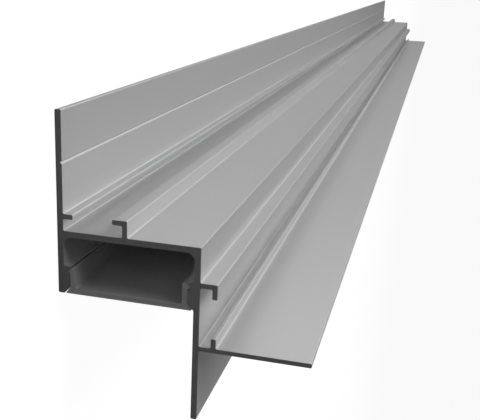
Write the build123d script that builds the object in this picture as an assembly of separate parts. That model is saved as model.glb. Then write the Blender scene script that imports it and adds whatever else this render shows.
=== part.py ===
from build123d import *
import os

# A straight stick of extruded aluminium profile for a recessed line of light, with its clip-in diffuser cover.
# The section is drawn as it is fitted: "across" runs from the back of the tall flange towards the board flange,
# and "rise" runs up from the top face of the web. The stick is stored lying on the back of its tall flange.
# All lengths are in millimetres.

# The stick as cut, both ends square
length = 1000.0

# Main walls: tall flange, web and deep side wall share one thickness
wall_thickness = 1.5
channel_width = 35.0
channel_depth = 15.5
flange_rise = 28.4
skirt_drop = 43.4

# Thin flange that the ceiling board is screwed to
board_flange_drop = 24.25
board_flange_reach = 26.6
board_flange_thickness = 1.1

# Two slots for the same joining plate, one on the web and one on the side wall
slot_width = 14.6
slot_height = 2.9
rail_thickness = 1.2
rib_reach = 2.4
lip_reach = 2.45

# Drill line scored along the tall flange
drill_line_rise = 16.3
drill_line_width = 0.8
drill_line_depth = 0.4

# Snap lugs inside the mouth of the channel, named from the mouth inwards
lug_chamfer_height = 1.7
lug_land_height = 2.8
lug_ramp_height = 0.7
lug_notch_height = 0.55
lug_slope_height = 0.9
lug_lip_height = 0.25
lug_land_reach = 1.45
lug_notch_reach = 0.85
lug_lip_reach = 1.85
lug_land_radius = 0.7
lug_lip_radius_share = 0.5

# Rounding that the die leaves on the section
edge_radius = 0.3
root_radius = 0.4
channel_radius = 2.0
edge_limit_share = 0.45

# Diffuser cover, a shallow trough whose barbed arms snap into the lug notches
cover_clearance = 0.1
cover_flare_gap = 0.2
cover_floor_thickness = 1.3
cover_arm_thickness = 1.2
cover_foot_share = 0.35
cover_corner_radius = 0.6
barb_tip_height = 0.2
barb_root_drop = 0.3
barb_top_share = 0.7

# Places worked out from the sizes
inner_left = wall_thickness
mouth = -channel_depth
web_underside = -wall_thickness
board_top = -board_flange_drop
land_low = mouth + lug_chamfer_height
land_high = land_low + lug_land_height
notch_low = land_high + lug_ramp_height
notch_high = notch_low + lug_notch_height
lip_low = notch_high + lug_slope_height
lug_top = lip_low + lug_lip_height
mirror_line = Plane.YZ.offset(channel_width / 2)
lying = Plane(
    origin=(flange_rise / 2 - skirt_drop / 2, length / 2, 0),
    x_dir=(0, 0, 1),
    z_dir=(0, -1, 0),
)


def block(low, high):
    """Rectangle of the section between two opposite corners."""
    size = Vector(*high) - Vector(*low)
    return Pos(*low) * Rectangle(size.X, size.Y, align=(Align.MIN, Align.MIN))


def shape(points):
    """Closed straight-sided outline through the points."""
    return make_face(Polyline(*points, close=True))


def at(sketch, points):
    """Corners of a sketch that stand at the points."""
    return [sketch.vertices().sort_by_distance((*point, 0))[0] for point in points]


def square_corners(sketch, quarters):
    """Square corners of a sketch with metal in so many of the four quarters around them."""
    face = sketch.face()
    picked = []
    for vertex in sketch.vertices():
        probes = [
            (vertex.X + side * edge_radius, vertex.Y + level * edge_radius, 0)
            for side in (-1, 1)
            for level in (-1, 1)
        ]
        if sum(face.is_inside(probe) for probe in probes) == quarters:
            picked.append(vertex)
    return picked


def slot_rails(corner, along, out):
    """Rib and hook that hold a joining plate against a wall, from the corner that the slot starts at."""
    start, run, off = Vector(*corner), Vector(*along), Vector(*out)
    top = slot_height + rail_thickness
    hook_end = slot_width + rail_thickness
    rib = [(0, slot_height), (rib_reach, slot_height), (rib_reach, top), (0, top)]
    hook = [
        (slot_width, 0),
        (hook_end, 0),
        (hook_end, top),
        (slot_width - lip_reach, top),
        (slot_width - lip_reach, slot_height),
        (slot_width, slot_height),
    ]
    rib_face = shape([start + run * s + off * h for s, h in rib])
    hook_face = shape([start + run * s + off * h for s, h in hook])
    return rib_face + hook_face


def snap_lug():
    """Lug on the left wall: lip, notch for the barb, flat land and a lead-in chamfer at the mouth."""
    lip = inner_left + lug_lip_reach
    notch = inner_left + lug_notch_reach
    land = inner_left + lug_land_reach
    small = [(lip, lug_top), (lip, lip_low), (notch, notch_high), (notch, notch_low)]
    large = [(land, land_high), (land, land_low)]
    root = wall_thickness / 2
    lug = shape([(root, lug_top), *small, *large, (inner_left, mouth), (root, mouth)])
    lug = fillet(at(lug, small), lug_lip_height * lug_lip_radius_share)
    return fillet(at(lug, large), lug_land_radius)


def profile_section():
    """Whole metal section, rounded as extruded, with its lugs and drill line."""
    inner_right = channel_width - wall_thickness
    board_end = channel_width + board_flange_reach
    section = block((0, mouth), (inner_left, flange_rise))
    section += block((0, web_underside), (channel_width, 0))
    section += block((inner_right, -skirt_drop), (channel_width, 0))
    section += block((inner_right, board_top - board_flange_thickness), (board_end, board_top))
    section += slot_rails((inner_left, 0), (1, 0), (0, 1))
    section += slot_rails((channel_width, board_top), (0, 1), (1, 0))
    thinnest = min(wall_thickness, board_flange_thickness, rail_thickness)
    outer_radius = min(edge_radius, thinnest * edge_limit_share)
    channel_corners = [(inner_left, web_underside), (inner_right, web_underside)]
    section = fillet(at(section, channel_corners), channel_radius)
    section = fillet(square_corners(section, 3), root_radius)
    section = fillet(square_corners(section, 1), outer_radius)
    lug = snap_lug()
    section += lug
    section += mirror(lug, mirror_line)
    half_width = drill_line_width / 2
    score = shape(
        [
            (inner_left, drill_line_rise - half_width),
            (inner_left - drill_line_depth, drill_line_rise),
            (inner_left, drill_line_rise + half_width),
        ]
    )
    return section - score


def cover_section():
    """Trough of the diffuser: flat floor flush with the mouth, flared feet and two barbed arms."""
    outer = inner_left + lug_land_reach + cover_clearance
    inner = outer + cover_arm_thickness
    foot = inner_left + (lug_land_reach + cover_clearance) * cover_foot_share
    floor_top = mouth + cover_floor_thickness
    flare_top = land_low - cover_flare_gap
    flare_foot = flare_top - (outer - foot) * lug_chamfer_height / lug_land_reach
    tip = inner_left + lug_notch_reach + cover_clearance
    tip_high = notch_high - cover_clearance
    tip_low = tip_high - barb_tip_height
    barb_slope = lug_slope_height / (lug_lip_reach - lug_notch_reach)
    shoulder = inner - cover_arm_thickness * barb_top_share
    arm_top = tip_high + (shoulder - tip) * barb_slope
    half = [
        (foot, mouth),
        (foot, flare_foot),
        (outer, flare_top),
        (outer, tip_low - barb_root_drop),
        (tip, tip_low),
        (tip, tip_high),
        (shoulder, arm_top),
        (inner, arm_top),
        (inner, floor_top),
    ]
    other_half = [(channel_width - across, rise) for across, rise in reversed(half)]
    trough = shape(half + other_half)
    return fillet(at(trough, [half[-1], other_half[0]]), cover_corner_radius)


def stick(section):
    """Section run along the whole length, laid down on the back of the tall flange."""
    return extrude(lying * section, amount=length)


os.makedirs("parts", exist_ok=True)
export_step(stick(profile_section()), "parts/extruded_profile.step")
export_step(stick(cover_section()), "parts/diffuser_cover.step")
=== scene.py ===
"""Aluminium extrusion profile with its clip-in diffuser cover, dressed and set in a white studio.

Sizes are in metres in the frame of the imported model, and in millimetres where a name ends in _mm. The stick
lies along Y on the back of its tall flange, so the photograph's up is -X here, and its right is +Z.
"""
import logging
import math
from dataclasses import dataclass
from enum import Enum, IntEnum

import bpy
import numpy as np
from mathutils import Matrix, Vector


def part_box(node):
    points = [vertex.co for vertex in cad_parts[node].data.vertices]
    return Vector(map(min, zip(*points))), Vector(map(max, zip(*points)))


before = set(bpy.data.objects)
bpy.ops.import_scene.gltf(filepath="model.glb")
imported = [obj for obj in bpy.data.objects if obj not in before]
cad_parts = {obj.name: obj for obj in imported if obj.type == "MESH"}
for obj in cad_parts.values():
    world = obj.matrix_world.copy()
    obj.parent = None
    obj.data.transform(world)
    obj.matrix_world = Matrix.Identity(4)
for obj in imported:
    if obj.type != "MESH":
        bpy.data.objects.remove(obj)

LOG = logging.getLogger("extrusion_profile")
MM = 0.001
# The sRGB curve is a straight toe, and above it a power of the shown value.
BYTE_MAX = 255
TOE_END = 0.04045
TOE_SLOPE = 12.92
CURVE_OFFSET = 0.055
CURVE_POWER = 2.4
# Blender's wave texture turns by so many radians in one unit of its scale.
WAVE_TURN = 20.0
# Octaves of the noise that draws the lines of a die.
LINE_DETAIL = 2.0
# Output of the Mix node that carries a colour. It goes by number, because the outputs share one name.
MIX_COLOUR = 2


class CadNode(Enum):
    """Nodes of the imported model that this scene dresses."""

    PROFILE = "extruded_profile"
    COVER = "diffuser_cover"


class Shader(Enum):
    """Kinds of shader node that the finishes are made of."""

    OUTPUT = "ShaderNodeOutputMaterial"
    WORLD_OUTPUT = "ShaderNodeOutputWorld"
    PRINCIPLED = "ShaderNodeBsdfPrincipled"
    BACKGROUND = "ShaderNodeBackground"
    MIX = "ShaderNodeMix"
    COORDINATES = "ShaderNodeTexCoord"
    MAPPING = "ShaderNodeMapping"
    SEPARATE = "ShaderNodeSeparateXYZ"
    NOISE = "ShaderNodeTexNoise"
    WAVE = "ShaderNodeTexWave"
    MAP_RANGE = "ShaderNodeMapRange"
    MATH = "ShaderNodeMath"
    BUMP = "ShaderNodeBump"
    LIGHT_PATH = "ShaderNodeLightPath"


class MixInput(IntEnum):
    """Inputs of the Mix node by number, because several of them share a name."""

    FACTOR = 0
    FLOAT_A = 2
    FLOAT_B = 3
    COLOUR_A = 6
    COLOUR_B = 7


def linear(code: str) -> tuple[float, float, float, float]:
    """Turns an sRGB hex colour into the linear numbers that shaders take.

    Args:
        code: Colour as "#rrggbb".

    Returns:
        Red, green, blue and an alpha of 1.
    """
    shown = [value / BYTE_MAX for value in bytes.fromhex(code.lstrip("#"))]
    light = [
        v / TOE_SLOPE if v <= TOE_END else ((v + CURVE_OFFSET) / (1.0 + CURVE_OFFSET)) ** CURVE_POWER
        for v in shown
    ]
    return (*light, 1.0)


def add_node(
    tree: bpy.types.NodeTree,
    kind: Shader,
    settings: dict[str | int, object] | None = None,
    links: dict[str | int, bpy.types.NodeSocket] | None = None,
) -> bpy.types.Node:
    """Adds one shader node with its settings and links.

    Args:
        tree: Node tree that gets the node.
        kind: Kind of node.
        settings: Values by the name of a property, or by the name or number of an input.
        links: Output sockets by the name or number of the input that they feed.

    Returns:
        The new node.
    """
    node = tree.nodes.new(kind.value)
    for key, value in (settings or {}).items():
        if isinstance(key, str) and hasattr(node, key):
            setattr(node, key, value)
        else:
            node.inputs[key].default_value = value
    for key, socket in (links or {}).items():
        tree.links.new(socket, node.inputs[key])
    return node


def empty_material(name: str) -> tuple[bpy.types.Material, bpy.types.NodeTree]:
    """Makes a material with no nodes in it.

    Args:
        name: Name of the real material.

    Returns:
        The material and its node tree.
    """
    material = bpy.data.materials.new(name)
    material.use_nodes = True
    material.node_tree.nodes.clear()
    return material, material.node_tree


def per_metre(size_mm: float) -> float:
    """Gives the texture scale that repeats a pattern at a size in millimetres."""
    return 1.0 / (size_mm * MM)


def die_lines(
    tree: bpy.types.NodeTree, place: bpy.types.NodeSocket, width_mm: float, run_mm: float
) -> bpy.types.NodeSocket:
    """Draws the lines that a die leaves: noise that is drawn out along the stick.

    Args:
        tree: Node tree of the material.
        place: Object coordinates.
        width_mm: Width of one line.
        run_mm: Length over which a line fades into the next.

    Returns:
        Socket of the lines, from 0 to 1.
    """
    across, along = per_metre(width_mm), per_metre(run_mm)
    stretched = add_node(tree, Shader.MAPPING, {"Scale": (across, along, across)}, {"Vector": place})
    noise = add_node(
        tree, Shader.NOISE, {"Scale": 1.0, "Detail": LINE_DETAIL}, {"Vector": stretched.outputs[0]}
    )
    return noise.outputs[0]


@dataclass(frozen=True)
class AnodisedAluminium:
    """Extruded aluminium, etched and clear anodised, with bare sawn ends.

    The eye gets a soft satin grey with a sheen that runs along the stick, faint lines that the die drew from
    end to end, and dull ends where the saw cut through the anodised skin. The ends are darker than the skin
    partly as a sawn finish and partly as painted shade, as if no lamp faced them. The skin's metallic share
    and its dark tint at grazing angles are picked so that the white floor, mirrored in it, leaves it grey.
    Neither is a measured property of the metal.
    """

    half_length: float
    skin: str = "#efefef"
    skin_shade: str = "#e9e9e9"
    edge_tint: str = "#303030"
    # The ends' colours are darker than the skin partly as a sawn finish and partly as painted shade.
    sawn_end_and_painted_shade: str = "#bebebe"
    saw_arc_and_painted_shade: str = "#b2b2b2"
    skin_roughness: tuple[float, float] = (0.35, 0.43)
    skin_metallic: float = 0.45
    sawn_roughness: float = 0.65
    sawn_metallic: float = 0.0
    specular: float = 0.05
    die_line_mm: float = 0.9
    die_band_mm: float = 7.0
    line_run_mm: float = 900.0
    die_line_depth_mm: float = 0.004
    saw_mark_mm: float = 0.55
    saw_radius_mm: float = 150.0
    saw_mark_depth_mm: float = 0.02
    saw_wander: float = 3.0
    saw_detail: float = 3.0
    end_skin_mm: float = 0.01

    def material(self) -> bpy.types.Material:
        """Makes the shader of the skin and of the sawn ends.

        Returns:
            The material of the whole stick.
        """
        material, tree = empty_material("anodised_aluminium")
        place = add_node(tree, Shader.COORDINATES).outputs["Object"]
        end = self.end_mask(tree, place)
        # Die lines are far longer than wide. Real ones are a tenth as wide, and these are drawn to show.
        line = die_lines(tree, place, self.die_line_mm, self.line_run_mm)
        band = die_lines(tree, place, self.die_band_mm, self.line_run_mm)
        saw = self.saw_marks(tree, place)
        skin = add_node(
            tree,
            Shader.MIX,
            {
                "data_type": "RGBA",
                MixInput.COLOUR_A: linear(self.skin_shade),
                MixInput.COLOUR_B: linear(self.skin),
            },
            {MixInput.FACTOR: band},
        )
        # Partly painted shade: the ends get colours set darker than their sawn finish alone, as if turned
        # from the lamps.
        sawn_end_and_painted_shade = add_node(
            tree,
            Shader.MIX,
            {
                "data_type": "RGBA",
                MixInput.COLOUR_A: linear(self.saw_arc_and_painted_shade),
                MixInput.COLOUR_B: linear(self.sawn_end_and_painted_shade),
            },
            {MixInput.FACTOR: saw},
        )
        colour = add_node(
            tree,
            Shader.MIX,
            {"data_type": "RGBA"},
            {
                MixInput.FACTOR: end,
                MixInput.COLOUR_A: skin.outputs[MIX_COLOUR],
                MixInput.COLOUR_B: sawn_end_and_painted_shade.outputs[MIX_COLOUR],
            },
        )
        low, high = self.skin_roughness
        sheen = add_node(tree, Shader.MAP_RANGE, {"To Min": low, "To Max": high}, {"Value": line})
        roughness = add_node(
            tree,
            Shader.MIX,
            {MixInput.FLOAT_B: self.sawn_roughness},
            {MixInput.FACTOR: end, MixInput.FLOAT_A: sheen.outputs[0]},
        )
        metallic = add_node(
            tree,
            Shader.MAP_RANGE,
            {"To Min": self.skin_metallic, "To Max": self.sawn_metallic},
            {"Value": end},
        )
        line_height = self.height(tree, line, self.die_line_depth_mm)
        saw_height = self.height(tree, saw, self.saw_mark_depth_mm)
        height = add_node(
            tree,
            Shader.MIX,
            {},
            {MixInput.FACTOR: end, MixInput.FLOAT_A: line_height, MixInput.FLOAT_B: saw_height},
        )
        # The heights are in metres already, so the bump takes them as they are.
        relief = add_node(
            tree, Shader.BUMP, {"Strength": 1.0, "Distance": 1.0}, {"Height": height.outputs[0]}
        )
        shader = add_node(
            tree,
            Shader.PRINCIPLED,
            {"Specular IOR Level": self.specular, "Specular Tint": linear(self.edge_tint)},
            {
                "Base Color": colour.outputs[MIX_COLOUR],
                "Metallic": metallic.outputs[0],
                "Roughness": roughness.outputs[0],
                "Normal": relief.outputs[0],
            },
        )
        add_node(tree, Shader.OUTPUT, {}, {"Surface": shader.outputs[0]})
        return material

    def end_mask(self, tree: bpy.types.NodeTree, place: bpy.types.NodeSocket) -> bpy.types.NodeSocket:
        """Masks the two sawn ends: 1 where the distance from mid-length reaches the half length.

        Args:
            tree: Node tree of the material.
            place: Object coordinates.

        Returns:
            Socket of the mask.
        """
        along = add_node(tree, Shader.SEPARATE, {}, {0: place}).outputs["Y"]
        away = add_node(tree, Shader.MATH, {"operation": "ABSOLUTE"}, {0: along}).outputs[0]
        limit = self.half_length - self.end_skin_mm * MM
        return add_node(tree, Shader.MATH, {"operation": "GREATER_THAN", 1: limit}, {0: away}).outputs[0]

    def saw_marks(self, tree: bpy.types.NodeTree, place: bpy.types.NodeSocket) -> bpy.types.NodeSocket:
        """Draws the arcs of a round saw blade whose centre stands above the cut.

        Args:
            tree: Node tree of the material.
            place: Object coordinates.

        Returns:
            Socket of the arcs, from 0 to 1.
        """
        below = (0.0, 0.0, -self.saw_radius_mm * MM)
        centred = add_node(tree, Shader.MAPPING, {"Location": below}, {"Vector": place})
        arcs = add_node(
            tree,
            Shader.WAVE,
            {
                "wave_type": "RINGS",
                "rings_direction": "Y",
                "Scale": per_metre(self.saw_mark_mm) * math.tau / WAVE_TURN,
                "Distortion": self.saw_wander,
                "Detail": self.saw_detail,
            },
            {"Vector": centred.outputs[0]},
        )
        return arcs.outputs["Fac"]

    def height(
        self, tree: bpy.types.NodeTree, pattern: bpy.types.NodeSocket, depth_mm: float
    ) -> bpy.types.NodeSocket:
        """Scales a pattern from 0 to 1 to its depth in metres."""
        scaled = add_node(tree, Shader.MATH, {"operation": "MULTIPLY", 1: depth_mm * MM}, {0: pattern})
        return scaled.outputs[0]


@dataclass(frozen=True)
class OpalPolycarbonate:
    """Extruded opal polycarbonate, frosted.

    The eye gets a milky plastic that light sinks into, all colours alike, with a dull bloom and fine lines
    along it from its die.
    """

    body: str = "#c8c8c8"
    body_shade: str = "#bebebe"
    roughness: tuple[float, float] = (0.42, 0.55)
    line_mm: float = 1.2
    line_run_mm: float = 700.0
    line_depth_mm: float = 0.004
    frost_mm: float = 0.5
    frost_detail: float = 3.0
    milk_weight: float = 0.35
    milk_depth_mm: float = 1.2
    milk_shares: tuple[float, float, float] = (1.0, 1.0, 1.0)
    specular: float = 0.4
    ior: float = 1.58

    def material(self) -> bpy.types.Material:
        """Makes the shader of the cover.

        Returns:
            The material of the cover.
        """
        material, tree = empty_material("opal_polycarbonate")
        place = add_node(tree, Shader.COORDINATES).outputs["Object"]
        line = die_lines(tree, place, self.line_mm, self.line_run_mm)
        frost = add_node(
            tree,
            Shader.NOISE,
            {"Scale": per_metre(self.frost_mm), "Detail": self.frost_detail},
            {"Vector": place},
        )
        colour = add_node(
            tree,
            Shader.MIX,
            {
                "data_type": "RGBA",
                MixInput.COLOUR_A: linear(self.body_shade),
                MixInput.COLOUR_B: linear(self.body),
            },
            {MixInput.FACTOR: line},
        )
        low, high = self.roughness
        bloom = add_node(tree, Shader.MAP_RANGE, {"To Min": low, "To Max": high}, {"Value": frost.outputs[0]})
        relief = add_node(
            tree, Shader.BUMP, {"Strength": 1.0, "Distance": self.line_depth_mm * MM}, {"Height": line}
        )
        shader = add_node(
            tree,
            Shader.PRINCIPLED,
            {
                "Subsurface Weight": self.milk_weight,
                "Subsurface Radius": self.milk_shares,
                "Subsurface Scale": self.milk_depth_mm * MM,
                "Specular IOR Level": self.specular,
                "IOR": self.ior,
            },
            {
                "Base Color": colour.outputs[MIX_COLOUR],
                "Roughness": bloom.outputs[0],
                "Normal": relief.outputs[0],
            },
        )
        add_node(tree, Shader.OUTPUT, {}, {"Surface": shader.outputs[0]})
        return material


@dataclass(frozen=True)
class WhitePaper:
    """Matt white background paper, lit from its far side.

    The eye gets a plain white that a soft shadow lies on. Cameras and mirrors see its glow, and it throws
    little of the lamps' light back at the object.
    """

    glow: str = "#ffffff"
    paper: str = "#7c7c7c"
    glow_strength: float = 0.94
    roughness: float = 1.0
    specular: float = 0.0

    def material(self) -> bpy.types.Material:
        """Makes the shader of the paper.

        Returns:
            The material of the floor.
        """
        material, tree = empty_material("white_background_paper")
        path = add_node(tree, Shader.LIGHT_PATH)
        mirrored = add_node(
            tree,
            Shader.MATH,
            {"operation": "MAXIMUM"},
            {0: path.outputs["Is Glossy Ray"], 1: path.outputs["Is Transmission Ray"]},
        )
        seen = add_node(
            tree,
            Shader.MATH,
            {"operation": "MAXIMUM"},
            {0: path.outputs["Is Camera Ray"], 1: mirrored.outputs[0]},
        )
        strength = add_node(
            tree, Shader.MATH, {"operation": "MULTIPLY", 1: self.glow_strength}, {0: seen.outputs[0]}
        )
        shader = add_node(
            tree,
            Shader.PRINCIPLED,
            {
                "Base Color": linear(self.paper),
                "Roughness": self.roughness,
                "Specular IOR Level": self.specular,
                "Emission Color": linear(self.glow),
            },
            {"Emission Strength": strength.outputs[0]},
        )
        add_node(tree, Shader.OUTPUT, {}, {"Surface": shader.outputs[0]})
        return material


@dataclass
class ProfileStick:
    """The extruded stick and the cover that is snapped into it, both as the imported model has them."""

    length: float

    def dress(self) -> None:
        """Gives the metal and the plastic their finishes."""
        finishes = {
            CadNode.PROFILE: AnodisedAluminium(half_length=self.length / 2).material(),
            CadNode.COVER: OpalPolycarbonate().material(),
        }
        for node, material in finishes.items():
            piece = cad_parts[node.value]
            for slot in piece.material_slots:
                slot.material = material
            LOG.info("%s dressed in %s", piece.name, material.name)


@dataclass
class PaperSweep:
    """Round white floor whose rim rises softly, so that level views end on it.

    The rim is lowest beyond the far end, because the metal mirrors it there, and highest behind the camera.
    """

    flat_radius: float = 5.0
    rim_radius: float = 9.0
    lowest_rim: float = 1.3
    highest_rim: float = 4.0
    rings: int = 48
    spokes: int = 96

    def surface(self) -> np.ndarray:
        """Works out the floor's points.

        The height over the radius r is the rim's own height times the square of the share of the way from
        the flat radius to the rim, and zero inside the flat radius. The rim's height goes from the lowest at
        +Y to the highest at -Y as half of one minus the sine of the angle from +X. Rings and spokes make the
        grid.

        Returns:
            Points of the grid, as rings by spokes by three.
        """
        radius = np.linspace(self.rim_radius / self.rings, self.rim_radius, self.rings)[:, None]
        angle = np.linspace(0.0, math.tau, self.spokes, endpoint=False)[None, :]
        share = np.clip((radius - self.flat_radius) / (self.rim_radius - self.flat_radius), 0.0, 1.0)
        rim = self.lowest_rim + (self.highest_rim - self.lowest_rim) * (1.0 - np.sin(angle)) / 2
        height = rim * share**2
        return np.stack([radius * np.cos(angle), radius * np.sin(angle), height], axis=-1)

    def build(self) -> bpy.types.Object:
        """Makes the floor, closed at the middle by a fan.

        Returns:
            The floor object.
        """
        grid = self.surface().reshape(-1, 3)
        points = np.vstack([grid, np.zeros(3)])
        index = np.arange(self.rings * self.spokes).reshape(self.rings, self.spokes)
        after = np.roll(index, -1, axis=1)
        quads = np.stack([index[:-1], index[1:], after[1:], after[:-1]], axis=-1).reshape(-1, 4)
        middle = np.full(self.spokes, len(grid))
        fan = np.stack([middle, index[0], after[0]], axis=-1)
        mesh = bpy.data.meshes.new("paper_sweep")
        mesh.from_pydata(points.tolist(), [], quads.tolist() + fan.tolist())
        mesh.polygons.foreach_set("use_smooth", np.ones(len(mesh.polygons), dtype=bool))
        mesh.materials.append(WhitePaper().material())
        floor = bpy.data.objects.new("paper_sweep", mesh)
        bpy.context.scene.collection.objects.link(floor)
        LOG.info("paper_sweep built, %d faces", len(mesh.polygons))
        return floor


@dataclass(frozen=True)
class Softbox:
    """One round softbox on a stand, turned to the spot on the floor that it lights.

    The bearing turns from +Y towards +X, and the height is the angle up from the floor. Both are seen from
    the spot.
    """

    name: str
    spot: tuple[float, float, float]
    bearing_deg: float
    height_deg: float
    power: float
    distance: float
    width: float

    def build(self) -> bpy.types.Object:
        """Makes the lamp.

        Returns:
            The lamp object.
        """
        lamp = bpy.data.lights.new(self.name, "AREA")
        lamp.shape = "DISK"
        lamp.size = self.width
        lamp.energy = self.power
        stand = bpy.data.objects.new(self.name, lamp)
        bearing, height = math.radians(self.bearing_deg), math.radians(self.height_deg)
        level = math.cos(height)
        towards = Vector((math.sin(bearing) * level, math.cos(bearing) * level, math.sin(height)))
        stand.location = Vector(self.spot) + towards * self.distance
        stand.rotation_euler = towards.to_track_quat("Z", "Y").to_euler()
        stand.visible_camera = False
        bpy.context.scene.collection.objects.link(stand)
        LOG.info("%s set, %.1f W", self.name, self.power)
        return stand


@dataclass
class Studio:
    """Floor, lamps and the dim room around them.

    Three lamps stand round the end that the camera is close to, and two are turned to the stick's middle.
    """

    near_end: float
    room: str = "#ffffff"
    room_strength: float = 0.03

    def lamps(self) -> tuple[Softbox, ...]:
        """Lists the lamps.

        A large one stands beyond the far end, three small ones stand at the near end, and a low fill stands
        on the side that the diffuser faces.

        Returns:
            The lamps, in that order.
        """
        near, middle = (0.0, self.near_end, 0.0), (0.0, 0.0, 0.0)
        small = {"distance": 1.1, "width": 0.8}
        large = {"distance": 2.2, "width": 1.5}
        low = {"distance": 2.2, "width": 0.36}
        return (
            Softbox("far_softbox", middle, bearing_deg=326.0, height_deg=30.0, power=6.9, **large),
            Softbox("side_softbox", near, bearing_deg=270.0, height_deg=46.0, power=3.9, **small),
            Softbox("top_softbox", near, bearing_deg=312.0, height_deg=70.0, power=3.5, **small),
            Softbox("front_softbox", near, bearing_deg=215.0, height_deg=30.0, power=0.36, **small),
            Softbox("fill_softbox", middle, bearing_deg=88.0, height_deg=5.0, power=12.0, **low),
        )

    def build(self) -> None:
        """Makes the floor, the lamps and the room's own light."""
        PaperSweep().build()
        for lamp in self.lamps():
            lamp.build()
        world = bpy.data.worlds.new("studio_room")
        world.use_nodes = True
        world.node_tree.nodes.clear()
        light = add_node(
            world.node_tree, Shader.BACKGROUND, {"Color": linear(self.room), "Strength": self.room_strength}
        )
        add_node(world.node_tree, Shader.WORLD_OUTPUT, {}, {"Surface": light.outputs[0]})
        bpy.context.scene.world = world
        bpy.context.scene.view_settings.view_transform = "Standard"


@dataclass(frozen=True)
class PhotoCamera:
    """Camera where the photograph was taken from, close to the near end and rolled on its side."""

    place_mm: tuple[float, float, float] = (-67.05, -660.676, 81.473)
    forward: tuple[float, float, float] = (0.28821, 0.93182, -0.22058)
    picture_up: tuple[float, float, float] = (-0.95663, 0.27, -0.10935)
    lens_mm: float = 59.576
    sensor_mm: float = 36.0
    nearest: float = 0.005

    def build(self) -> bpy.types.Object:
        """Makes the camera and takes it into use.

        Returns:
            The camera object.
        """
        data = bpy.data.cameras.new("photo_camera")
        data.sensor_fit = "HORIZONTAL"
        data.sensor_width = self.sensor_mm
        data.lens = self.lens_mm
        data.clip_start = self.nearest
        camera = bpy.data.objects.new("photo_camera", data)
        ahead = Vector(self.forward).normalized()
        right = ahead.cross(Vector(self.picture_up)).normalized()
        up = right.cross(ahead)
        turn = Matrix((right, up, -ahead)).transposed()
        camera.matrix_world = Matrix.Translation(Vector(self.place_mm) * MM) @ turn.to_4x4()
        bpy.context.scene.collection.objects.link(camera)
        bpy.context.scene.camera = camera
        LOG.info("photo_camera set")
        return camera


def main() -> None:
    """Dresses the stick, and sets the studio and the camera."""
    logging.basicConfig(level=logging.INFO, format="%(name)s: %(message)s")
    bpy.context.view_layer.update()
    low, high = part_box(CadNode.PROFILE.value)
    ProfileStick(length=high[1] - low[1]).dress()
    Studio(near_end=low[1]).build()
    PhotoCamera().build()


if __name__ == "__main__":
    main()
